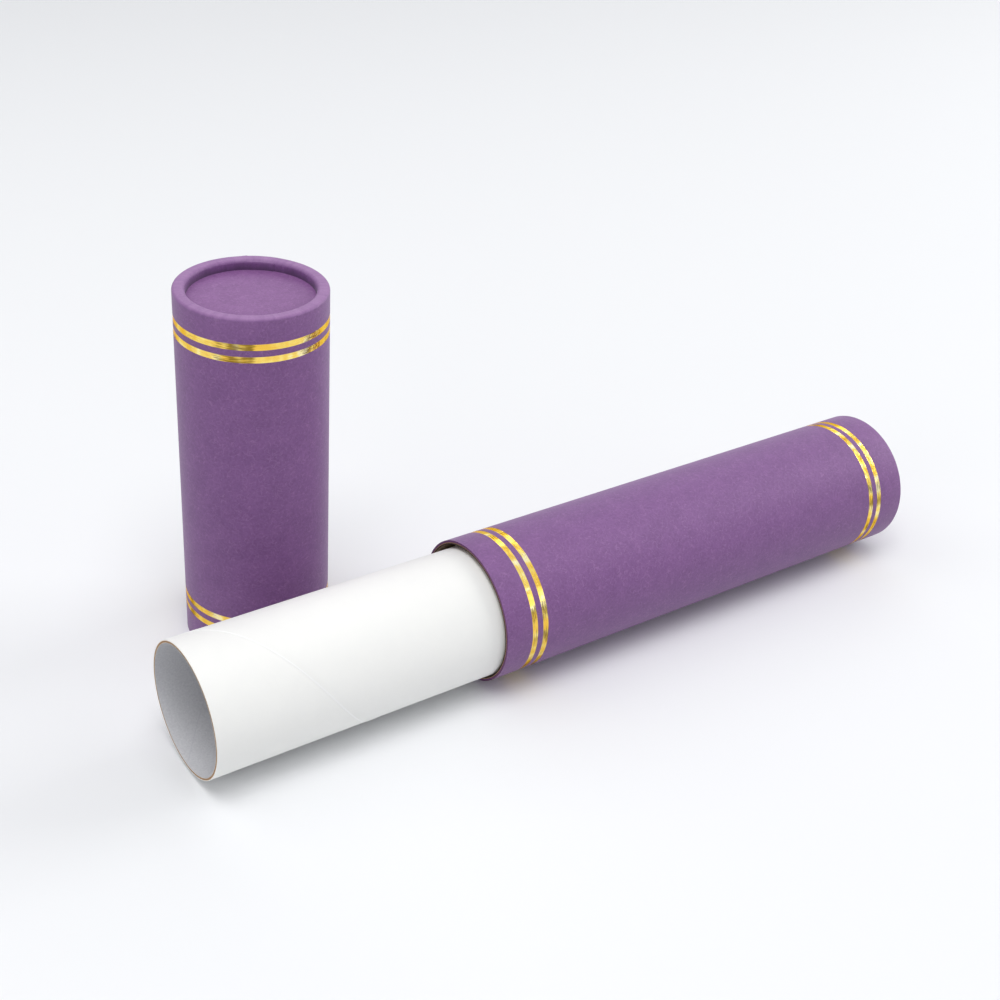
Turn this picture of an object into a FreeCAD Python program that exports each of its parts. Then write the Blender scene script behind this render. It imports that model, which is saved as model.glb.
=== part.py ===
import FreeCAD, Part
import os
from math import pi

import Sketcher

# Certificate scroll holder: a telescoping paper tube in three parts, open.
# The base is a wrapped board tube with a neck glued in its bore, and the lid slides over that neck.
# Lid and base are made alike: a spiral-wound board tube, a paper wrap round it that laps over itself,
# and one end rolled inwards over a disc.
#
# Millimetres, +Z up. The base lies along X with its neck towards -X, and the lid stands on its mouth
# beside the neck. The origin is on the surface that both rest on, under the middle of the whole set.

SIZES = [
    ("outer_radius", 25.0, "outside of the paper wrap, on lid and base"),
    ("base_length", 188.0, "base, from its mouth to its rolled end"),
    ("lid_length", 130.0, "lid, from its mouth to its rolled end"),
    ("board_thickness", 1.2, "wall of the board tubes of lid and base"),
    ("wrap_thickness", 0.2, "one layer of the wrapping paper"),
    ("lap_width", 10.0, "strip where the wrap is glued over its own edge"),
    ("curl_gap", 1.4, "between the wall and its own rolled-in leg"),
    ("shoulder_radius", 0.9, "outer corner of the rolled end, outside the wrap"),
    ("corner_radius", 1.3, "inner corner of the rolled end, outside the wrap"),
    ("recess_depth", 3.4, "from the top of the rolled end down to the disc"),
    ("disc_thickness", 1.6, "board disc that closes the rolled end"),
    ("neck_reach", 104.0, "length of neck that stands out of the base"),
    ("neck_wall", 1.0, "wall of the neck"),
    ("neck_clearance", 0.8, "between the neck and a bore, all round"),
    ("glue_film", 0.05, "adhesive where the neck lies in the base's bore"),
    ("lid_gap_along", 22.5, "along the base, from its mouth to the lid's side"),
    ("lid_gap_across", 11.9, "across the base, from its side to the lid's side"),
    ("lid_lap_bearing", 54.0, "turn of the lid's lap round its axis, degrees"),
    ("base_lap_bearing", 48.0, "turn of the base's lap round its axis, degrees"),
]

# Places shared by several pieces, as formulas on the sheet
MOUTH_X = "(Sizes.neck_reach - Sizes.base_length - Sizes.wrap_thickness) / 2"
BASE_Y = "-(Sizes.outer_radius + Sizes.lid_gap_across / 2)"
BASE_Z = "Sizes.outer_radius"
NECK_Z = f"{BASE_Z} - Sizes.neck_clearance + Sizes.glue_film"
LID_X = f"{MOUTH_X} - Sizes.lid_gap_along - Sizes.outer_radius"
LID_Y = "Sizes.outer_radius + Sizes.lid_gap_across / 2"
DISC_BACK = "(Sizes.recess_depth + Sizes.disc_thickness)"
ROLL_WIDTH = "(2 * (Sizes.wrap_thickness + Sizes.board_thickness) + Sizes.curl_gap)"
BORE_RADIUS = "Sizes.outer_radius - Sizes.wrap_thickness - Sizes.board_thickness"
LAP_ANGLE = "Sizes.lap_width / Sizes.outer_radius * 180 / pi"

# Names for the ends of a sketch's edge, and for its own axes, whose start is the origin
START, END, CENTRE = 1, 2, 3
AXES = -1

UPRIGHT = FreeCAD.Rotation()
ALONG_X = FreeCAD.Rotation(FreeCAD.Vector(0, 1, 0), 90)

doc = FreeCAD.newDocument("certificate_scroll_holder")
sheet = doc.addObject("Spreadsheet::Sheet", "Sizes")
for row, (alias, value, meaning) in enumerate(SIZES, start=1):
    sheet.set(f"A{row}", alias)
    sheet.set(f"B{row}", str(value))
    sheet.set(f"C{row}", meaning)
    sheet.setAlias(f"B{row}", alias)
doc.recompute()


def place(piece, rotation, x, y, z):
    """Sets the piece down in the set's frame, at a point given by formulas."""
    piece.Placement = FreeCAD.Placement(FreeCAD.Vector(), rotation)
    piece.setExpression("Placement.Base.x", x)
    piece.setExpression("Placement.Base.y", y)
    piece.setExpression("Placement.Base.z", z)


def new_body(name):
    body = doc.addObject("PartDesign::Body", name)
    body.Label = name
    return body


def sketch_on(body, role, name):
    """A sketch on one of the body's own origin planes."""
    sketch = body.newObject("Sketcher::SketchObject", name)
    plane = next(item for item in body.Origin.OriginFeatures if item.Role == role)
    sketch.AttachmentSupport = (plane, [""])
    sketch.MapMode = "FlatFace"
    return sketch


def bind(sketch, name, formula, *dimension):
    """Adds a dimension to the sketch and ties it to the sheet."""
    index = sketch.addConstraint(Sketcher.Constraint(*dimension))
    sketch.renameConstraint(index, name)
    sketch.setExpression(f"Constraints.{name}", formula)


def add_line(sketch, x1, y1, x2, y2):
    return sketch.addGeometry(Part.LineSegment(FreeCAD.Vector(x1, y1, 0), FreeCAD.Vector(x2, y2, 0)))


def layer_side(sketch, name, rough, radius, height, width, shoulder, corner):
    """One side of a tube wall's section: up the wall, over the rolled end and down its leg.

    The roll is pressed flat between its outer shoulder and its inner corner. The last five
    arguments are formulas. Returns the wall's line and the leg's line.
    """
    rough_radius, rough_height, rough_width, rough_bend = rough
    shoulder_x = rough_radius - rough_bend
    leg_x = rough_radius - rough_width
    corner_x = leg_x + rough_bend
    bend_y = rough_height - rough_bend
    normal = FreeCAD.Vector(0, 0, 1)
    shoulder_circle = Part.Circle(FreeCAD.Vector(shoulder_x, bend_y, 0), normal, rough_bend)
    corner_circle = Part.Circle(FreeCAD.Vector(corner_x, bend_y, 0), normal, rough_bend)

    wall = add_line(sketch, rough_radius, 0, rough_radius, bend_y)
    outer_bend = sketch.addGeometry(Part.ArcOfCircle(shoulder_circle, 0, pi / 2))
    crest = add_line(sketch, shoulder_x, rough_height, corner_x, rough_height)
    inner_bend = sketch.addGeometry(Part.ArcOfCircle(corner_circle, pi / 2, pi))
    leg = add_line(sketch, leg_x, bend_y, leg_x, bend_y - 1)
    for join in (
        ("Tangent", wall, END, outer_bend, START),
        ("Tangent", outer_bend, END, crest, START),
        ("Tangent", crest, END, inner_bend, START),
        ("Tangent", inner_bend, END, leg, START),
        ("Vertical", wall),
        ("Horizontal", crest),
        ("Vertical", leg),
        ("PointOnObject", wall, START, AXES),
    ):
        sketch.addConstraint(Sketcher.Constraint(*join))

    bind(sketch, name + "_shoulder", shoulder, "Radius", outer_bend, rough_bend)
    bind(sketch, name + "_corner", corner, "Radius", inner_bend, rough_bend)
    bind(sketch, name + "_radius", radius, "DistanceX", AXES, START, wall, START, rough_radius)
    bind(sketch, name + "_width", width, "DistanceX", leg, START, wall, END, rough_width)
    bind(sketch, name + "_height", height, "DistanceY", AXES, START, crest, START, rough_height)
    return wall, leg


def curled_section(sketch, length, outside, inside):
    """Half section of a wall that stands on Y = 0 round the Y axis and is rolled in at the far end.

    outside and inside each give the formulas of one side: radius, height, width of the roll,
    shoulder and corner.
    """
    outer_wall, outer_leg = layer_side(sketch, "outside", (25, 120, 4.2, 1.2), *outside)
    inner_wall, inner_leg = layer_side(sketch, "inside", (23.8, 118.8, 1.4, 0.4), *inside)
    mouth = add_line(sketch, 23.8, 0, 25, 0)
    tip = add_line(sketch, 20.8, 116.4, 22.4, 116.4)
    for join in (
        ("Coincident", mouth, START, inner_wall, START),
        ("Coincident", mouth, END, outer_wall, START),
        ("Coincident", tip, START, outer_leg, END),
        ("Coincident", tip, END, inner_leg, END),
        ("Horizontal", tip),
    ):
        sketch.addConstraint(Sketcher.Constraint(*join))
    bind(
        sketch,
        "tip_height",
        f"{length} - Sizes.recess_depth",
        "DistanceY", AXES, START, tip, START, 116.4,
    )


def paper_side(length, outwards):
    """Formulas of one side of the paper, so far outwards of the wrap's own outside."""
    return (
        f"Sizes.outer_radius + {outwards}",
        f"{length} + {outwards}",
        f"{ROLL_WIDTH} + 2 * {outwards}",
        f"Sizes.shoulder_radius + {outwards}",
        f"Sizes.corner_radius + {outwards}",
    )


def revolve(body, sketch, name):
    """Turns a half section round the tube's axis."""
    turn = body.newObject("PartDesign::Revolution", name)
    turn.Profile = sketch
    turn.ReferenceAxis = (sketch, ["V_Axis"])
    turn.Angle = 360
    return turn


def board_tube(name, length):
    """Spiral-wound board tube with one end rolled in tight, bare of its wrap."""
    body = new_body(name)
    section = sketch_on(body, "XZ_Plane", name + "_section")
    hollow_side = (
        BORE_RADIUS,
        f"{length} - Sizes.wrap_thickness - Sizes.board_thickness",
        "Sizes.curl_gap",
        "Sizes.curl_gap / 4",
        "Sizes.curl_gap / 4",
    )
    curled_section(section, length, paper_side(length, "-Sizes.wrap_thickness"), hollow_side)
    revolve(body, section, name + "_wall")
    return body


def paper_wrap(name, length, bearing):
    """Sheet of paper rolled once round the tube and in over its end, with a lap down one side."""
    body = new_body(name)
    section = sketch_on(body, "XZ_Plane", name + "_section")
    under_side = paper_side(length, "-Sizes.wrap_thickness")
    curled_section(section, length, paper_side(length, "0"), under_side)
    revolve(body, section, name + "_layer")

    lap_section = sketch_on(body, "XZ_Plane", name + "_lap_section")
    lap_section.AttachmentOffset = FreeCAD.Placement(
        FreeCAD.Vector(), FreeCAD.Rotation(FreeCAD.Vector(0, 1, 0), 1)
    )
    lap_section.setExpression("AttachmentOffset.Rotation.Angle", bearing)
    curled_section(lap_section, length, paper_side(length, "Sizes.wrap_thickness"), under_side)
    lap = revolve(body, lap_section, name + "_lap")
    lap.Midplane = True
    lap.setExpression("Angle", LAP_ANGLE)
    return body


def end_disc(name):
    """Paper-faced board disc that fills the bore under the curl."""
    disc = doc.addObject("Part::Cylinder", name)
    disc.Label = name
    disc.setExpression("Radius", BORE_RADIUS)
    disc.setExpression("Height", "Sizes.disc_thickness")
    return disc


def neck():
    """White-lined inner tube, from its open mouth to the base's disc."""
    body = new_body("neck_tube")
    section = sketch_on(body, "XY_Plane", "neck_section")
    for name, radius, formula in (
        ("outside", 22.8, f"{BORE_RADIUS} - Sizes.neck_clearance"),
        ("inside", 21.8, f"{BORE_RADIUS} - Sizes.neck_clearance - Sizes.neck_wall"),
    ):
        circle = Part.Circle(FreeCAD.Vector(), FreeCAD.Vector(0, 0, 1), radius)
        edge = section.addGeometry(circle)
        section.addConstraint(Sketcher.Constraint("Coincident", edge, CENTRE, AXES, START))
        bind(section, name, formula, "Radius", edge, radius)
    wall = body.newObject("PartDesign::Pad", "neck_wall_pad")
    wall.Profile = section
    wall.setExpression("Length", f"Sizes.neck_reach + Sizes.base_length - {DISC_BACK}")
    return body


# Base: board tube, wrap and disc share one axis along X, as high as the wrap's radius
base_tube = board_tube("base_tube", "Sizes.base_length")
place(base_tube, ALONG_X, MOUTH_X, BASE_Y, BASE_Z)
base_wrap = paper_wrap("base_wrap", "Sizes.base_length", "Sizes.base_lap_bearing")
place(base_wrap, ALONG_X, MOUTH_X, BASE_Y, BASE_Z)
base_disc = end_disc("base_disc")
place(base_disc, ALONG_X, f"{MOUTH_X} + Sizes.base_length - {DISC_BACK}", BASE_Y, BASE_Z)

# Neck: it lies on the glue along the lowest line of the base's bore
neck_tube = neck()
place(neck_tube, ALONG_X, f"{MOUTH_X} - Sizes.neck_reach", BASE_Y, NECK_Z)

# Lid: upright on its mouth
lid_tube = board_tube("lid_tube", "Sizes.lid_length")
place(lid_tube, UPRIGHT, LID_X, LID_Y, "0")
lid_wrap = paper_wrap("lid_wrap", "Sizes.lid_length", "Sizes.lid_lap_bearing")
place(lid_wrap, UPRIGHT, LID_X, LID_Y, "0")
lid_disc = end_disc("lid_disc")
place(lid_disc, UPRIGHT, LID_X, LID_Y, f"Sizes.lid_length - {DISC_BACK}")

doc.recompute()

for item in doc.Objects:
    if "Invalid" in item.State or "Error" in item.State:
        raise RuntimeError(f"{item.Name} failed: {item.State}")

pieces = [base_tube, base_wrap, base_disc, neck_tube, lid_tube, lid_wrap, lid_disc]
for piece in pieces:
    if piece.Shape.isNull() or not piece.Shape.isValid() or len(piece.Shape.Solids) != 1:
        raise RuntimeError(f"{piece.Label} is not one sound solid")

os.makedirs("parts", exist_ok=True)
for piece in pieces:
    piece.Shape.exportStep(f"parts/{piece.Label}.step")
    box = piece.Shape.optimalBoundingBox()
    print(
        f"{piece.Label:10s} {piece.Shape.Volume:10.1f} mm3  "
        f"x {box.XMin:.2f}..{box.XMax:.2f}  y {box.YMin:.2f}..{box.YMax:.2f}  z {box.ZMin:.2f}..{box.ZMax:.2f}"
    )
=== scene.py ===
from math import pi, radians

import bmesh
import bpy
from mathutils import Matrix, Vector


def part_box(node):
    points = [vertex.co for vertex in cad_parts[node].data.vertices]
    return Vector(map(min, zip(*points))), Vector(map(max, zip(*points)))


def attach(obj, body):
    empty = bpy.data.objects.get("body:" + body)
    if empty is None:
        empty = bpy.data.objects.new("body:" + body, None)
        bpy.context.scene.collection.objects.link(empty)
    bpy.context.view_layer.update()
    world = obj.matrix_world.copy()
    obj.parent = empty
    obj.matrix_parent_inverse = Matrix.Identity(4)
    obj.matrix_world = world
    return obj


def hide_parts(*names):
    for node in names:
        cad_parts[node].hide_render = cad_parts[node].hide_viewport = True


# Certificate scroll holder: a paper tube in three parts, open. The base lies on its side with the
# white inner neck glued in it, and the lid stands on its mouth beside the neck.

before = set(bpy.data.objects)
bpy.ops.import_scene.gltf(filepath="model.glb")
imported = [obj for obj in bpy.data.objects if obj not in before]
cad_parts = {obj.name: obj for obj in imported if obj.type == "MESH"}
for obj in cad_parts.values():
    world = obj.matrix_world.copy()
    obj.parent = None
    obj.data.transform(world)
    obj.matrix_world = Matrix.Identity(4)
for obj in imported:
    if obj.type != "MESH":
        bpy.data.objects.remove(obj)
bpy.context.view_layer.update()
bpy.context.scene.view_settings.view_transform = "Standard"


# ---------------------------------------------------------------------------------------------
# Wraps of base and lid
# One sheet of violet dyed paper is glued round each board tube, laps over its own start, and is
# rolled in with the board at the closed end. Two gold foil lines are stamped near each end of
# the sheet while it is still flat.
# ---------------------------------------------------------------------------------------------

WRAP_RADIUS = 0.025
WRAP_PAPER = 0.0002
MOUTH_EDGE = 0.0001
# The lap climbs onto the sheet's start over LAP_CLIMB, and is PRESSED_LAP thick on the roll
LAP_WIDTH = 0.010
LAP_CLIMB = 0.0025
PRESSED_LAP = 0.00005
SHOULDER_RADIUS = 0.0009
CORNER_RADIUS = 0.0013
ROLL_WIDTH = 0.0042
RECESS_DEPTH = 0.0034
CREST_HIGHLIGHT_DEPTH = 0.0011
FOIL_WIDTH = 0.0022
FOIL_SPACING = 0.0043
STAMP_DEPTH = 0.00003
STAMP_WALL = 0.00004
BASE_MOUTH_MARGIN = 0.0102
BASE_END_MARGIN = 0.0116
LID_MOUTH_MARGIN = 0.0107
LID_END_MARGIN = 0.0084
BASE_LAP_BEARING = 48
LID_LAP_BEARING = 54
CLIMB_STEPS = 5
ROUND_STEPS = 256


def colour(code):
    """Linear colour of an sRGB hex code."""
    channels = [int(code[i:i + 2], 16) / 255 for i in (1, 3, 5)]
    linear = [c / 12.92 if c <= 0.04045 else ((c + 0.055) / 1.055) ** 2.4 for c in channels]
    return (*linear, 1)


def add_node(material, kind, inputs=None, **settings):
    """Adds a shader node. Its inputs take a value, or the output of another node."""
    node = material.node_tree.nodes.new(kind)
    for name, value in settings.items():
        setattr(node, name, value)
    for name, value in (inputs or {}).items():
        if isinstance(value, bpy.types.NodeSocket):
            material.node_tree.links.new(value, node.inputs[name])
        else:
            node.inputs[name].default_value = value
    return node


def new_material(name, **surface):
    """A material, and its surface shader with values set on its own sockets."""
    material = bpy.data.materials.new(name)
    material.use_nodes = True
    shader = material.node_tree.nodes["Principled BSDF"]
    for socket, value in surface.items():
        shader.inputs[socket.replace("_", " ")].default_value = value
    return material, shader


def link(material, output, socket):
    material.node_tree.links.new(output, socket)


def start_profile(name, x, z):
    """A new mesh of a single point, open for editing, from which a profile is drawn."""
    bpy.ops.object.select_all(action="DESELECT")
    bpy.ops.mesh.primitive_plane_add(size=0.001, location=(x, 0, z))
    piece = bpy.context.active_object
    piece.name = piece.data.name = name
    bpy.ops.object.transform_apply(location=True)
    bpy.ops.object.mode_set(mode="EDIT")
    bpy.ops.mesh.select_mode(type="VERT")
    bpy.ops.mesh.select_all(action="SELECT")
    bpy.ops.mesh.merge(type="CENTER")
    return piece


def draw_on(x, z):
    """Draws the profile on from its last point, by a straight run."""
    bpy.ops.mesh.extrude_region_move(TRANSFORM_OT_translate={"value": (x, 0, z)})


def select_faces(piece, wanted):
    """Selects the faces of the piece being edited whose middle passes the test, and only those."""
    bpy.ops.mesh.select_mode(type="FACE")
    bpy.ops.mesh.select_all(action="DESELECT")
    mesh = bmesh.from_edit_mesh(piece.data)
    for face in mesh.faces:
        if wanted(face.calc_center_median()):
            face.select_set(True)
    bmesh.update_edit_mesh(piece.data)


def apply_modifier(piece, kind, **settings):
    modifier = piece.modifiers.new(kind.title(), kind)
    for name, value in settings.items():
        setattr(modifier, name, value)
    bpy.ops.object.modifier_apply(modifier=modifier.name)


def lay_down(piece, place):
    """Puts a piece that was made upright at the origin in its place, inside its mesh."""
    piece.matrix_world = place
    bpy.ops.object.transform_apply(location=True, rotation=True, scale=True)


def rolled_sheet(name, length, mouth_margin, end_margin, lap_bearing, place):
    """The wrap of one tube, made upright on its mouth round the Z axis and then put in place.

    The margins run from the mouth and from the closed end to the nearest foil line.
    """
    far_line = length - end_margin - FOIL_WIDTH
    line_starts = [mouth_margin, mouth_margin + FOIL_SPACING, far_line - FOIL_SPACING, far_line]
    piece = start_profile(name, WRAP_RADIUS, 0)
    height = 0
    for start in line_starts:
        draw_on(0, start - height)
        draw_on(0, FOIL_WIDTH)
        height = start + FOIL_WIDTH
    draw_on(0, length - SHOULDER_RADIUS - height)
    bpy.ops.mesh.spin(
        steps=8, angle=pi / 2, axis=(0, 1, 0),
        center=(WRAP_RADIUS - SHOULDER_RADIUS, 0, length - SHOULDER_RADIUS),
    )
    draw_on(SHOULDER_RADIUS + CORNER_RADIUS - ROLL_WIDTH, 0)
    bpy.ops.mesh.spin(
        steps=10, angle=pi / 2, axis=(0, 1, 0),
        center=(WRAP_RADIUS - ROLL_WIDTH + CORNER_RADIUS, 0, length - CORNER_RADIUS),
    )
    draw_on(0, CORNER_RADIUS - RECESS_DEPTH)

    # Round the tube, up over its own start, and on to the free edge of the lap
    bpy.ops.mesh.select_all(action="SELECT")
    climb = LAP_CLIMB / WRAP_RADIUS
    lap = LAP_WIDTH / WRAP_RADIUS
    bpy.ops.mesh.spin(steps=ROUND_STEPS, angle=2 * pi - climb, center=(0, 0, 0), axis=(0, 0, 1))
    for _ in range(CLIMB_STEPS):
        bpy.ops.mesh.extrude_region_move()
        bpy.ops.transform.rotate(
            value=climb / CLIMB_STEPS, orient_axis="Z", center_override=(0, 0, 0)
        )
        bpy.ops.transform.shrink_fatten(value=WRAP_PAPER / CLIMB_STEPS)

    # The lap lies full thick on the wall, and is pressed nearly flat where the end is rolled in
    mesh = bmesh.from_edit_mesh(piece.data)
    edge = [corner.index for corner in mesh.verts if corner.select]
    for corner in mesh.verts:
        corner.select_set(corner.select and corner.co.z > length - SHOULDER_RADIUS / 2)
    mesh.select_flush_mode()
    bmesh.update_edit_mesh(piece.data)
    bpy.ops.transform.shrink_fatten(value=PRESSED_LAP - WRAP_PAPER)
    mesh = bmesh.from_edit_mesh(piece.data)
    mesh.verts.ensure_lookup_table()
    for index in edge:
        mesh.verts[index].select_set(True)
    mesh.select_flush(True)
    bmesh.update_edit_mesh(piece.data)
    bpy.ops.mesh.spin(steps=18, angle=lap, center=(0, 0, 0), axis=(0, 0, 1))

    # Stamp the foil lines
    piece.data.materials.append(wrap_paper)
    piece.data.materials.append(gold_foil)
    piece.data.materials.append(cut_paper)
    select_faces(
        piece, lambda spot: any(start < spot.z < start + FOIL_WIDTH for start in line_starts)
    )
    bpy.ops.mesh.inset(thickness=STAMP_WALL, depth=-STAMP_DEPTH)
    piece.active_material_index = 1
    bpy.ops.object.material_slot_assign()

    bpy.ops.object.mode_set(mode="OBJECT")
    apply_modifier(piece, "SOLIDIFY", thickness=WRAP_PAPER, offset=-1, material_offset_rim=2)

    # The crest gets a painted highlight, and the leg painted shade that deepens down to the disc.
    # Only the edge at the mouth is cut clean, and the lap's free edge is as soft as the face.
    crest = piece.data.attributes.new("painted_crest_highlight", "FLOAT", "POINT")
    leg = piece.data.attributes.new("painted_leg_shade", "FLOAT", "POINT")
    upright = piece.data.attributes.new("upright_place", "FLOAT_VECTOR", "POINT")
    for vertex in piece.data.vertices:
        depth = length - vertex.co.z
        inwards = WRAP_RADIUS - vertex.co.xy.length
        crest.data[vertex.index].value = max(0, 1 - depth / CREST_HIGHLIGHT_DEPTH)
        leg.data[vertex.index].value = depth / RECESS_DEPTH * (inwards > ROLL_WIDTH / 2)
        upright.data[vertex.index].vector = vertex.co
    for face in piece.data.polygons:
        if face.material_index == 2 and face.center.z > MOUTH_EDGE:
            face.material_index = 0
    start_angle = radians(lap_bearing) + lap / 2
    lay_down(piece, place @ Matrix.Rotation(start_angle, 4, "Z"))
    bpy.ops.object.shade_smooth_by_angle(angle=radians(30))
    return piece


# Uncoated paper dyed in the pulp: a matt violet with a soft, slightly cloudy look, fine felt
# marks and single paler fibres. The felt marks are drawn about 0.9 mm wide, which is coarser
# than real fibres, so that they show at all.
def dyed_paper(name, light, dark, fibre, leg_shade):
    material, shader = new_material(
        name, Roughness=0.6, Specular_IOR_Level=0.65, Sheen_Weight=0.12, Sheen_Roughness=0.4
    )
    place = add_node(material, "ShaderNodeTexCoord").outputs["Object"]
    felt = add_node(
        material, "ShaderNodeTexNoise",
        {"Vector": place, "Scale": 1 / 0.0009, "Detail": 4, "Roughness": 0.62},
    ).outputs["Fac"]
    cloud = add_node(
        material, "ShaderNodeTexNoise",
        {"Vector": place, "Scale": 1 / 0.007, "Detail": 3, "Roughness": 0.55},
    ).outputs["Fac"]
    strand = add_node(
        material, "ShaderNodeTexNoise",
        {"Vector": place, "Scale": 1 / 0.0022, "Detail": 1.5, "Distortion": 0.6},
    ).outputs["Fac"]
    off_strand = add_node(
        material, "ShaderNodeMath", {0: strand, 1: 0.5}, operation="SUBTRACT"
    ).outputs[0]
    off_strand = add_node(
        material, "ShaderNodeMath", {0: off_strand}, operation="ABSOLUTE"
    ).outputs[0]
    fibres = add_node(
        material, "ShaderNodeMapRange",
        {"Value": off_strand, "From Min": 0.0, "From Max": 0.022, "To Min": 1.0, "To Max": 0.0},
    ).outputs[0]
    marks = add_node(
        material, "ShaderNodeMapRange", {"Value": felt, "From Min": 0.3, "From Max": 0.7}
    ).outputs[0]
    cloudy = add_node(
        material, "ShaderNodeMapRange",
        {"Value": cloud, "From Min": 0.3, "From Max": 0.7, "To Min": -0.25, "To Max": 0.25},
    ).outputs[0]
    tone = add_node(
        material, "ShaderNodeMath", {0: marks, 1: cloudy}, operation="ADD", use_clamp=True
    ).outputs[0]
    body = add_node(
        material, "ShaderNodeMix",
        {"Factor": tone, 6: colour(dark), 7: colour(light)}, data_type="RGBA",
    ).outputs[2]
    fleck = add_node(
        material, "ShaderNodeMath", {0: fibres, 1: 0.35}, operation="MULTIPLY"
    ).outputs[0]
    dyed = add_node(
        material, "ShaderNodeMix",
        {"Factor": fleck, 6: body, 7: colour(fibre)}, data_type="RGBA",
    ).outputs[2]
    # Where the end is rolled in, the crest gets a painted highlight, the leg painted shade that
    # deepens down to the disc with a border that wavers every 5 mm or so, and the sheet gathers in
    # soft pleats about 1.7 mm wide that run across the roll
    crest = add_node(material, "ShaderNodeAttribute", attribute_name="painted_crest_highlight").outputs["Fac"]
    leg = add_node(material, "ShaderNodeAttribute", attribute_name="painted_leg_shade").outputs["Fac"]
    upright = add_node(material, "ShaderNodeAttribute", attribute_name="upright_place").outputs[1]
    level = add_node(
        material, "ShaderNodeVectorMath", {0: upright, 1: (1, 1, 0)}, operation="MULTIPLY"
    ).outputs[0]
    outwards = add_node(
        material, "ShaderNodeVectorMath", {0: level}, operation="NORMALIZE"
    ).outputs[0]
    pleats = add_node(
        material, "ShaderNodeTexNoise",
        {"Vector": outwards, "Scale": WRAP_RADIUS / 0.0017, "Detail": 3, "Roughness": 0.6},
    ).outputs["Fac"]
    waver = add_node(
        material, "ShaderNodeTexNoise",
        {"Vector": outwards, "Scale": WRAP_RADIUS / 0.005, "Detail": 3, "Roughness": 0.6},
    ).outputs["Fac"]
    leg = add_node(
        material, "ShaderNodeMath", {0: waver, 1: 1.1, 2: leg}, operation="MULTIPLY_ADD"
    ).outputs[0]
    leg = add_node(
        material, "ShaderNodeMapRange", {"Value": leg, "From Min": 0.7, "From Max": 1.55},
        interpolation_type="SMOOTHSTEP",
    ).outputs[0]
    # Painted highlight on the crest: the paler fibre colour, broken up by pleats and waver
    painted_highlight = add_node(
        material, "ShaderNodeMath", {0: waver, 1: pleats}, operation="ADD"
    ).outputs[0]
    painted_highlight = add_node(
        material, "ShaderNodeMapRange",
        {"Value": painted_highlight, "From Min": 0.7, "From Max": 1.3, "To Min": 0.3, "To Max": 0.78},
    ).outputs[0]
    painted_highlight = add_node(
        material, "ShaderNodeMath", {0: painted_highlight, 1: crest}, operation="MULTIPLY"
    ).outputs[0]
    dyed = add_node(
        material, "ShaderNodeMix", {"Factor": painted_highlight, 6: dyed, 7: colour(fibre)}, data_type="RGBA"
    ).outputs[2]
    # Painted shade: the leg darkens down into the recess, darkest at the disc
    dyed = add_node(
        material, "ShaderNodeMix", {"Factor": leg, 6: dyed, 7: colour(leg_shade)}, data_type="RGBA"
    ).outputs[2]
    link(material, dyed, shader.inputs["Base Color"])
    relief = add_node(
        material, "ShaderNodeMath", {0: fibres, 1: 0.3, 2: felt}, operation="MULTIPLY_ADD"
    ).outputs[0]
    gathered = add_node(
        material, "ShaderNodeMath", {0: crest, 1: leg}, operation="MAXIMUM"
    ).outputs[0]
    gathered = add_node(
        material, "ShaderNodeMath", {0: gathered, 1: pleats}, operation="MULTIPLY"
    ).outputs[0]
    relief = add_node(
        material, "ShaderNodeMath", {0: gathered, 1: 1.8, 2: relief}, operation="MULTIPLY_ADD"
    ).outputs[0]
    bump = add_node(
        material, "ShaderNodeBump", {"Height": relief, "Strength": 0.5, "Distance": 0.00006}
    )
    link(material, bump.outputs["Normal"], shader.inputs["Normal"])
    return material


wrap_paper = dyed_paper(
    "dyed_wrap_paper", light="#7A4D87", dark="#6B4078", fibre="#9C72A4", leg_shade="#50305B"
)

# Cut edge of the same paper: the knife leaves it denser and darker than the felted face.
cut_paper, cut_shader = new_material("cut_paper_edge", Roughness=0.95)
speck = add_node(
    cut_paper, "ShaderNodeTexNoise",
    {"Vector": add_node(cut_paper, "ShaderNodeTexCoord").outputs["Object"], "Scale": 1 / 0.0006,
     "Detail": 3},
).outputs["Fac"]
link(
    cut_paper,
    add_node(
        cut_paper, "ShaderNodeMix",
        {"Factor": speck, 6: colour("#4A2B3C"), 7: colour("#6B4655")}, data_type="RGBA",
    ).outputs[2],
    cut_shader.inputs["Base Color"],
)

# Hot-stamped foil: a metallised film under yellow lacquer, pressed into the paper. It mirrors the
# room and buckles a little with the paper; painted pale highlights and nearly white glints follow
# the deep gold along a line. Seen at a slant the lacquer turns it amber. It has fine drag lines,
# drawn 0.25 mm apart so that they show, and a few painted olive patches of dark reflection.
gold_foil, foil_shader = new_material(
    "stamped_gold_foil", Metallic=1.0, Specular_Tint=colour("#EFCD8E")
)
place = add_node(gold_foil, "ShaderNodeTexCoord").outputs["Object"]
upright = add_node(gold_foil, "ShaderNodeAttribute", attribute_name="upright_place").outputs[1]
drag_place = add_node(
    gold_foil, "ShaderNodeVectorMath", {0: upright, 1: (1 / 0.004, 1 / 0.004, 1 / 0.00025)},
    operation="MULTIPLY",
).outputs[0]
drag = add_node(
    gold_foil, "ShaderNodeTexNoise", {"Vector": drag_place, "Scale": 1.0, "Detail": 2}
).outputs["Fac"]
patch_place = add_node(
    gold_foil, "ShaderNodeVectorMath", {0: upright, 1: (1 / 0.0042, 1 / 0.0042, 1 / 0.009)},
    operation="MULTIPLY",
).outputs[0]
patch = add_node(
    gold_foil, "ShaderNodeTexNoise",
    {"Vector": patch_place, "Scale": 1.0, "Detail": 1.5, "Roughness": 0.5},
).outputs["Fac"]
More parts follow.
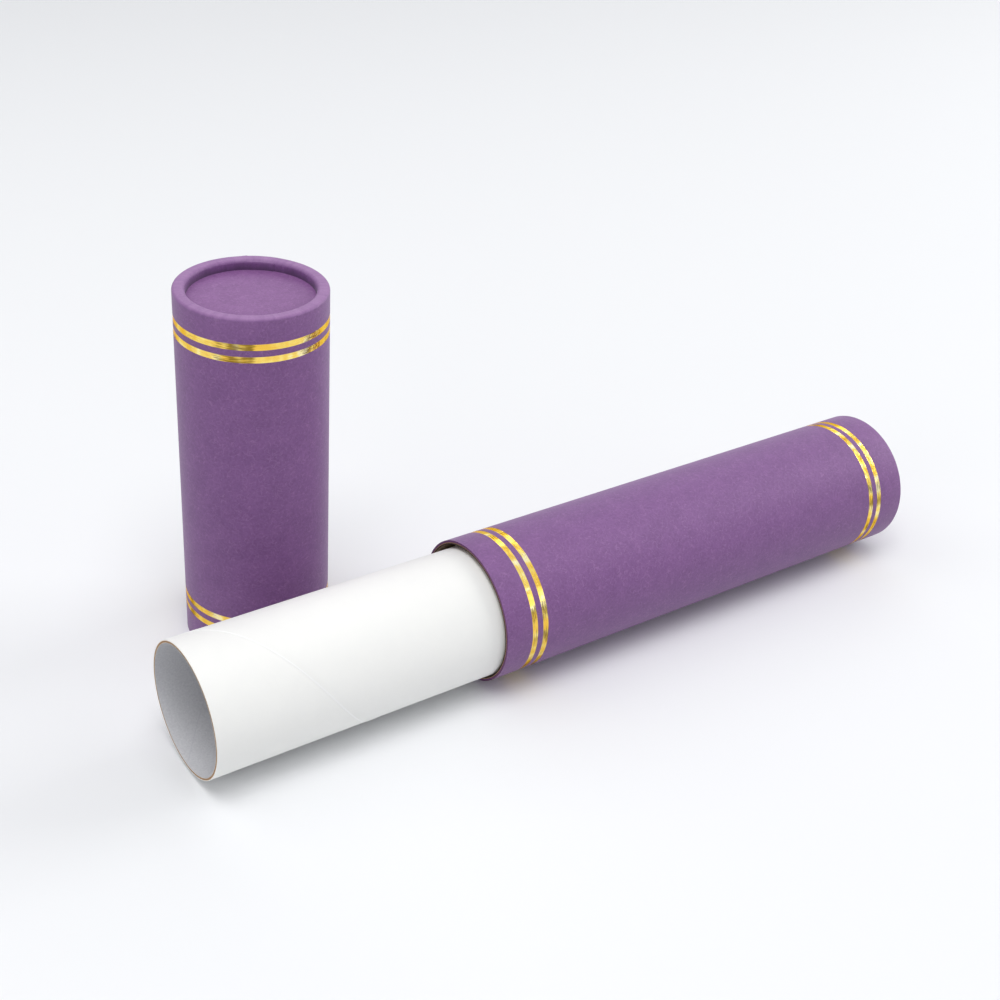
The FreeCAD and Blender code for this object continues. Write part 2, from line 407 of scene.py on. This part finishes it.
# A painted dark reflection is about 9 mm long and crosses both lines of a pair. The shift brings
# one near the front of the lid.
dark_reflection_place = add_node(
    gold_foil, "ShaderNodeVectorMath",
    {0: upright, 1: (1 / 0.009, 1 / 0.009, 1 / 0.06), 2: (3.3, 8.6, 0.0)},
    operation="MULTIPLY_ADD",
).outputs[0]
painted_dark_reflection = add_node(
    gold_foil, "ShaderNodeTexNoise",
    {"Vector": dark_reflection_place, "Scale": 1.0, "Detail": 1, "Roughness": 0.5},
).outputs["Fac"]
buckle = add_node(
    gold_foil, "ShaderNodeTexNoise", {"Vector": place, "Scale": 1 / 0.0035, "Detail": 2}
).outputs["Fac"]
pits = add_node(
    gold_foil, "ShaderNodeTexNoise",
    {"Vector": place, "Scale": 1 / 0.0006, "Detail": 3, "Roughness": 0.6},
).outputs["Fac"]
tone = add_node(
    gold_foil, "ShaderNodeMath", {0: drag, 1: 0.35, 2: patch}, operation="MULTIPLY_ADD"
).outputs[0]
# Painted highlights: paler film colour where the tone is high
painted_pale_highlight = add_node(
    gold_foil, "ShaderNodeMapRange", {"Value": tone, "From Min": 0.56, "From Max": 0.8}
).outputs[0]
film = add_node(
    gold_foil, "ShaderNodeMix",
    {"Factor": painted_pale_highlight, 6: colour("#F3C550"), 7: colour("#FFE884")}, data_type="RGBA",
).outputs[2]
# Painted glint: nearly white film colour at the top of the tone
painted_glint = add_node(
    gold_foil, "ShaderNodeMapRange",
    {"Value": tone, "From Min": 0.74, "From Max": 0.92},
).outputs[0]
film = add_node(
    gold_foil, "ShaderNodeMix", {"Factor": painted_glint, 6: film, 7: colour("#FFF6C8")}, data_type="RGBA"
).outputs[2]
# Painted dark reflection: olive film colour in a few places
dark_reflection_mix = add_node(
    gold_foil, "ShaderNodeMath", {0: drag, 1: 0.6, 2: painted_dark_reflection}, operation="MULTIPLY_ADD"
).outputs[0]
dark_reflection_mix = add_node(
    gold_foil, "ShaderNodeMapRange",
    {"Value": dark_reflection_mix, "From Min": 0.86, "From Max": 0.98, "To Min": 0.0, "To Max": 0.9},
).outputs[0]
link(
    gold_foil,
    add_node(
        gold_foil, "ShaderNodeMix", {"Factor": dark_reflection_mix, 6: film, 7: colour("#806526")},
        data_type="RGBA",
    ).outputs[2],
    foil_shader.inputs["Base Color"],
)
link(
    gold_foil,
    add_node(
        gold_foil, "ShaderNodeMapRange",
        {"Value": pits, "From Min": 0.3, "From Max": 0.7, "To Min": 0.14, "To Max": 0.28},
    ).outputs[0],
    foil_shader.inputs["Roughness"],
)
wavy = add_node(
    gold_foil, "ShaderNodeBump", {"Height": buckle, "Strength": 1.0, "Distance": 0.0004}
)
pitted = add_node(
    gold_foil, "ShaderNodeBump",
    {"Height": pits, "Strength": 0.5, "Distance": 0.00003, "Normal": wavy.outputs["Normal"]},
)
link(gold_foil, pitted.outputs["Normal"], foil_shader.inputs["Normal"])

low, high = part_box("base_wrap")
base_axis = Vector((0, low.y + WRAP_RADIUS, low.z + WRAP_RADIUS))
base_mouth = low.x
base_length = high.x - low.x - WRAP_PAPER
lying = Matrix.Rotation(pi / 2, 4, "Y")
base_wrap = rolled_sheet(
    "base_wrap_paper", base_length, BASE_MOUTH_MARGIN, BASE_END_MARGIN, BASE_LAP_BEARING,
    Matrix.Translation((base_mouth, base_axis.y, base_axis.z)) @ lying,
)
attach(base_wrap, "base")
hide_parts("base_wrap")

low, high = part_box("lid_wrap")
lid_foot = Vector((low.x + WRAP_RADIUS, low.y + WRAP_RADIUS, low.z))
lid_wrap = rolled_sheet(
    "lid_wrap_paper", high.z - low.z - WRAP_PAPER, LID_MOUTH_MARGIN, LID_END_MARGIN,
    LID_LAP_BEARING, Matrix.Translation(lid_foot),
)
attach(lid_wrap, "lid")
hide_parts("lid_wrap")


# ---------------------------------------------------------------------------------------------
# Board tubes under the wraps
# Spiral-wound from several plies of brown chipboard, which show as thin rings at the cut mouths
# and as a slanting joint line inside the bore.
# ---------------------------------------------------------------------------------------------

BOARD_WALL = 0.0012
BOARD_BORE = WRAP_RADIUS - WRAP_PAPER - BOARD_WALL
BOARD_PITCH = 0.080
JOINT_WIDTH = 0.0006


def wound_board(name, centre, axis_turn, bore_radius, wall, pitch, plies, bore_light, bore_dark,
                joint_shade):
    """Board of a tube whose own axis passes through centre.

    The plies are the colours of the cut end, each with where it starts, from 0 at the bore to 1.
    """
    material, shader = new_material(name, Roughness=0.93, Specular_IOR_Level=0.25)
    place = add_node(material, "ShaderNodeTexCoord").outputs["Object"]
    moved = add_node(
        material, "ShaderNodeVectorMath", {0: place, 1: tuple(-c for c in centre)}, operation="ADD"
    ).outputs[0]
    tube = add_node(
        material, "ShaderNodeVectorRotate", {"Vector": moved, "Rotation": axis_turn},
        rotation_type="EULER_XYZ",
    ).outputs[0]
    split = add_node(material, "ShaderNodeSeparateXYZ", {0: tube})
    across, over, along = (split.outputs[i] for i in range(3))
    flat = add_node(material, "ShaderNodeCombineXYZ", {"X": across, "Y": over}).outputs[0]
    radius = add_node(
        material, "ShaderNodeVectorMath", {0: flat}, operation="LENGTH"
    ).outputs["Value"]
    fibre = add_node(
        material, "ShaderNodeTexNoise",
        {"Vector": place, "Scale": 1 / 0.0007, "Detail": 4, "Roughness": 0.65},
    ).outputs["Fac"]
    # The plies' borders are uneven, because the fibres shift them by up to an eighth of the wall
    depth = add_node(
        material, "ShaderNodeMapRange",
        {"Value": radius, "From Min": bore_radius, "From Max": bore_radius + wall,
         "To Min": -0.12, "To Max": 0.88},
    ).outputs[0]
    depth = add_node(
        material, "ShaderNodeMath", {0: fibre, 1: 0.24, 2: depth}, operation="MULTIPLY_ADD"
    ).outputs[0]
    ramp = add_node(material, "ShaderNodeValToRGB", {"Fac": depth})
    ramp.color_ramp.interpolation = "EASE"
    while len(ramp.color_ramp.elements) < len(plies):
        ramp.color_ramp.elements.new(1)
    for element, (start, shade) in zip(ramp.color_ramp.elements, plies):
        element.position, element.color = start, colour(shade)
    cut = ramp.outputs["Color"]

    # The joint of the innermost ply winds along the bore, a soft line 0.6 mm wide
    turn = add_node(
        material, "ShaderNodeMath", {0: over, 1: across}, operation="ARCTAN2"
    ).outputs[0]
    turns = add_node(
        material, "ShaderNodeMath", {0: turn, 1: 1 / (2 * pi)}, operation="MULTIPLY"
    ).outputs[0]
    wound = add_node(
        material, "ShaderNodeMath", {0: along, 1: -1 / pitch, 2: turns}, operation="MULTIPLY_ADD"
    ).outputs[0]
    wound = add_node(material, "ShaderNodeMath", {0: wound}, operation="FRACT").outputs[0]
    joint = add_node(
        material, "ShaderNodeMapRange",
        {"Value": wound, "From Max": JOINT_WIDTH / pitch},
    ).outputs[0]
    felt = add_node(
        material, "ShaderNodeMapRange", {"Value": fibre, "From Min": 0.3, "From Max": 0.7}
    ).outputs[0]
    bore = add_node(
        material, "ShaderNodeMix",
        {"Factor": felt, 6: colour(bore_dark), 7: colour(bore_light)}, data_type="RGBA",
    ).outputs[2]
    jointed = add_node(
        material, "ShaderNodeMix",
        {"Factor": joint, 6: colour(joint_shade), 7: bore}, data_type="RGBA",
    ).outputs[2]

    # A cut end faces along the tube, and the bore faces across it
    facing = add_node(material, "ShaderNodeNewGeometry").outputs["True Normal"]
    facing = add_node(
        material, "ShaderNodeVectorRotate", {"Vector": facing, "Rotation": axis_turn},
        rotation_type="EULER_XYZ",
    ).outputs[0]
    end_on = add_node(material, "ShaderNodeSeparateXYZ", {0: facing}).outputs["Z"]
    end_on = add_node(material, "ShaderNodeMath", {0: end_on}, operation="ABSOLUTE").outputs[0]
    end_on = add_node(
        material, "ShaderNodeMath", {0: end_on, 1: 0.7}, operation="GREATER_THAN"
    ).outputs[0]
    board = add_node(
        material, "ShaderNodeMix", {"Factor": end_on, 6: jointed, 7: cut}, data_type="RGBA"
    ).outputs[2]
    link(material, board, shader.inputs["Base Color"])
    bump = add_node(
        material, "ShaderNodeBump", {"Height": fibre, "Strength": 0.6, "Distance": 0.00008}
    )
    link(material, bump.outputs["Normal"], shader.inputs["Normal"])
    return material


def dress(node, material):
    """Gives a CAD node its finish."""
    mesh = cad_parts[node].data
    mesh.materials.clear()
    mesh.materials.append(material)


# The outermost ply takes the wrap's dye and the middle one is bare. The inner one is painted near
# black: painted shade that runs on into the dark gap round the neck
board_plies_and_gap_shade = [(0.0, "#241B1A"), (0.3, "#33261F"), (0.42, "#9C7F66"), (0.54, "#8A6A58"),
               (0.62, "#4A2C42"), (0.74, "#65406F"), (1.0, "#6B4576")]
bore_shades = ("#A8977F", "#96846B", "#6B5744")
along_x = (0, -pi / 2, 0)
base_board = wound_board(
    "wound_chipboard_base", (base_mouth, base_axis.y, base_axis.z), along_x, BOARD_BORE, BOARD_WALL,
    BOARD_PITCH, board_plies_and_gap_shade, *bore_shades,
)
dress("base_tube", base_board)
lid_board = wound_board(
    "wound_chipboard_lid", lid_foot, (0, 0, 0), BOARD_BORE, BOARD_WALL,
    BOARD_PITCH, board_plies_and_gap_shade, *bore_shades,
)
dress("lid_tube", lid_board)


# ---------------------------------------------------------------------------------------------
# End discs
# Punched from grey board faced with the same violet paper, and held down by the rolled-in end.
# ---------------------------------------------------------------------------------------------

# The discs take a slightly lighter copy of the wrap's paper: painted light on the disc faces
painted_lighter_disc_paper = dyed_paper(
    "disc_paper_painted_lighter", light="#7F4F89", dark="#70417A", fibre="#9C72A4", leg_shade="#50305B"
)
dress("lid_disc", painted_lighter_disc_paper)
dress("base_disc", painted_lighter_disc_paper)


# ---------------------------------------------------------------------------------------------
# Neck
# Spiral-wound grey board with a white liner paper wound round it last. The liner's edge lies
# over its own last turn, which leaves one slanting ridge, and the saw leaves a brown end.
# ---------------------------------------------------------------------------------------------

LINER_PITCH = 0.1008
LINER_OVERLAP = 0.003
SEAM_START = 0.0677
LINER_PAPER = 0.0001
LINER_SINK = 0.00005
RIDGE_HEIGHT = 0.00008
FREE_EDGE_WIDTH = 0.0006
EDGE_HIGHLIGHT_SLOPE = 0.1
PRESSED_WIDTH = 0.0014
TUCKED_WIDTH = 0.0012
DIP_WIDTH = 0.0014
DIP_DEPTH = 0.00008
NECK_WALL = 0.001
TURNS = 5

low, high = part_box("neck_tube")
neck_radius = (high.y - low.y) / 2
neck_length = high.x - low.x
neck_axis = Vector((low.x, (low.y + high.y) / 2, (low.z + high.z) / 2))
neck_place = Matrix.Translation(neck_axis) @ lying

# Smooth white machine-finished paper: bright and matt, with a barely visible cloudiness
liner_paper, liner_shader = new_material(
    "white_liner_paper", Roughness=0.62, Specular_IOR_Level=0.35
)
place = add_node(liner_paper, "ShaderNodeTexCoord").outputs["Object"]
cloud = add_node(
    liner_paper, "ShaderNodeTexNoise",
    {"Vector": place, "Scale": 1 / 0.006, "Detail": 4, "Roughness": 0.6},
).outputs["Fac"]
link(
    liner_paper,
    add_node(
        liner_paper, "ShaderNodeMix",
        {"Factor": cloud, 6: colour("#EFEFED"), 7: colour("#F3F3F0")}, data_type="RGBA",
    ).outputs[2],
    liner_shader.inputs["Base Color"],
)
smooth_felt = add_node(
    liner_paper, "ShaderNodeTexNoise", {"Vector": place, "Scale": 1 / 0.0012, "Detail": 3}
).outputs["Fac"]
link(
    liner_paper,
    add_node(
        liner_paper, "ShaderNodeBump", {"Height": smooth_felt, "Strength": 0.3, "Distance": 0.00004}
    ).outputs["Normal"],
    liner_shader.inputs["Normal"],
)

# The liner's free edge is painted whiter than the face: a painted highlight where it meets the
# light
painted_edge_highlight, _ = new_material(
    "liner_edge_highlight", Base_Color=colour("#FAFAF9"), Roughness=0.9, Specular_IOR_Level=0.2
)

# One turn of the liner from its free edge: up onto the ridge, over the overlap, down where it is
# pressed, along the tube, and down under the next turn. It starts a hair inside the neck's
# outline, because the ridge stands out of it.
liner_radius = neck_radius - LINER_SINK
neck_liner = start_profile("neck_liner", liner_radius, SEAM_START - 2 * LINER_PITCH)
draw_on(RIDGE_HEIGHT, FREE_EDGE_WIDTH)
draw_on(0, LINER_OVERLAP)
draw_on(-RIDGE_HEIGHT, PRESSED_WIDTH)
draw_on(0, LINER_PITCH - LINER_OVERLAP - FREE_EDGE_WIDTH - PRESSED_WIDTH - DIP_WIDTH)
draw_on(-DIP_DEPTH, DIP_WIDTH)
draw_on(0, TUCKED_WIDTH)
bpy.ops.object.mode_set(mode="OBJECT")
apply_modifier(
    neck_liner, "SCREW", axis="Z", angle=2 * pi, screw_offset=LINER_PITCH, iterations=TURNS,
    steps=ROUND_STEPS, render_steps=ROUND_STEPS, use_merge_vertices=False,
)
bpy.ops.object.mode_set(mode="EDIT")
bpy.ops.mesh.select_all(action="SELECT")
bpy.ops.mesh.bisect(plane_co=(0, 0, 0), plane_no=(0, 0, 1), clear_inner=True)
bpy.ops.mesh.select_all(action="SELECT")
bpy.ops.mesh.bisect(plane_co=(0, 0, neck_length), plane_no=(0, 0, 1), clear_outer=True)
bpy.ops.mesh.select_all(action="SELECT")
bpy.ops.mesh.normals_make_consistent(inside=False)
bpy.ops.object.mode_set(mode="OBJECT")
neck_liner.data.materials.append(liner_paper)
neck_liner.data.materials.append(painted_edge_highlight)
# The free edge slopes far more than the rest, and gets the painted highlight
for face in neck_liner.data.polygons:
    if abs(face.normal.z) > EDGE_HIGHLIGHT_SLOPE:
        face.material_index = 1
apply_modifier(neck_liner, "SOLIDIFY", thickness=LINER_PAPER, offset=-1)
lay_down(neck_liner, neck_place)
bpy.ops.object.shade_smooth_by_angle(angle=radians(20))
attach(neck_liner, "base")
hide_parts("neck_tube")

core_wall = NECK_WALL - LINER_PAPER - LINER_SINK
core_board = wound_board(
    "wound_grey_board", neck_axis, along_x, neck_radius - NECK_WALL, core_wall, LINER_PITCH,
    [(0.0, "#D9D5CF"), (0.18, "#B39474"), (0.5, "#8C6B4C"), (0.7, "#A98562"), (0.9, "#E9DFD2")],
    "#DADADD", "#CACACE", "#CACACF",
)
bpy.ops.object.select_all(action="DESELECT")
bpy.ops.mesh.primitive_cylinder_add(
    vertices=ROUND_STEPS, radius=liner_radius - LINER_PAPER, depth=neck_length,
    end_fill_type="NOTHING", location=(0, 0, neck_length / 2),
)
neck_core = bpy.context.active_object
neck_core.name = neck_core.data.name = "neck_core"
bpy.ops.object.transform_apply(location=True)
neck_core.data.materials.append(core_board)
apply_modifier(neck_core, "SOLIDIFY", thickness=core_wall, offset=-1)
lay_down(neck_core, neck_place)
bpy.ops.object.shade_smooth_by_angle(angle=radians(30))
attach(neck_core, "base")


# ---------------------------------------------------------------------------------------------
# Floor
# White card that the holder is shown on
# ---------------------------------------------------------------------------------------------

bpy.ops.object.select_all(action="DESELECT")
bpy.ops.mesh.primitive_plane_add(size=3)
floor = bpy.context.active_object
floor.name = "floor"
floor_card, _ = new_material(
    "white_floor_card", Base_Color=colour("#EEEFF1"), Roughness=0.6, Specular_IOR_Level=0.05
)
floor.data.materials.append(floor_card)


# ---------------------------------------------------------------------------------------------
# Light
# A white room and seven softboxes: the strongest are overhead and on the right, and the weaker
# ones open up the shaded sides.
# ---------------------------------------------------------------------------------------------

ROOM_LIGHT = 0.26
ROOM_SEEN = 0.95

world = bpy.data.worlds.new("white_room")
bpy.context.scene.world = world
world.use_nodes = True
room = world.node_tree.nodes["Background"]
room.inputs["Color"].default_value = colour("#F2F4F8")
path = add_node(world, "ShaderNodeLightPath")
seen = add_node(
    world, "ShaderNodeMath",
    {0: path.outputs["Is Camera Ray"], 1: path.outputs["Is Glossy Ray"]}, operation="MAXIMUM",
).outputs[0]
strength = add_node(
    world, "ShaderNodeMapRange", {"Value": seen, "To Min": ROOM_LIGHT, "To Max": ROOM_SEEN}
).outputs[0]
link(world, strength, room.inputs["Strength"])


def softbox(name, place, aim, width, height, radiance):
    """A soft rectangular lamp. Its radiance is how bright it looks, where 1 is white."""
    lamp = bpy.data.lights.new(name, "AREA")
    lamp.shape = "RECTANGLE"
    lamp.size, lamp.size_y = width, height
    lamp.energy = radiance * pi * width * height
    holder = bpy.data.objects.new(name, lamp)
    bpy.context.scene.collection.objects.link(holder)
    holder.location = place
    holder.rotation_euler = (Vector(aim) - Vector(place)).to_track_quat("-Z", "Y").to_euler()


softbox("key_softbox", (-0.34, -0.45, 2.10), (0, 0, 0), 1.3, 1.3, 4.9)
softbox("left_softbox", (-0.69, 0.58, 1.07), (0, 0, 0.03), 0.9, 0.9, 1.35)
softbox("low_left_softbox", (-1.00, -0.45, 0.50), (0, 0, 0.03), 0.7, 0.5, 1.5)
softbox("right_softbox", (1.62, -0.29, 0.75), (0, 0, 0.05), 1.2, 0.9, 4.1)
softbox("high_right_softbox", (0.79, 0.26, 1.10), (0, 0, 0.03), 0.5, 0.4, 0.3)
softbox("low_right_softbox", (0.55, -1.10, 0.50), (0, 0, 0.03), 0.7, 0.5, 0.7)
softbox("back_softbox", (1.28, 1.70, 1.50), (0, 0, 0.05), 2.1, 1.0, 1.3)


# ---------------------------------------------------------------------------------------------
# Camera
# Looks down along the neck from in front of its mouth
# ---------------------------------------------------------------------------------------------

camera = bpy.data.objects.new("camera", bpy.data.cameras.new("camera"))
bpy.context.scene.collection.objects.link(camera)
bpy.context.scene.camera = camera
camera.data.sensor_width = 36
camera.data.lens = 56.45
heading, pitch, roll = radians(36.94), radians(31.52), radians(4.32)
turn = (
    Matrix.Rotation(-heading, 4, "Z")
    @ Matrix.Rotation(pi / 2 - pitch, 4, "X")
    @ Matrix.Rotation(roll, 4, "Z")
)
standpoint = Vector((base_mouth, base_axis.y, 0)) + Vector((-0.2551, -0.3539, 0.3378))
camera.matrix_world = Matrix.Translation(standpoint) @ turn
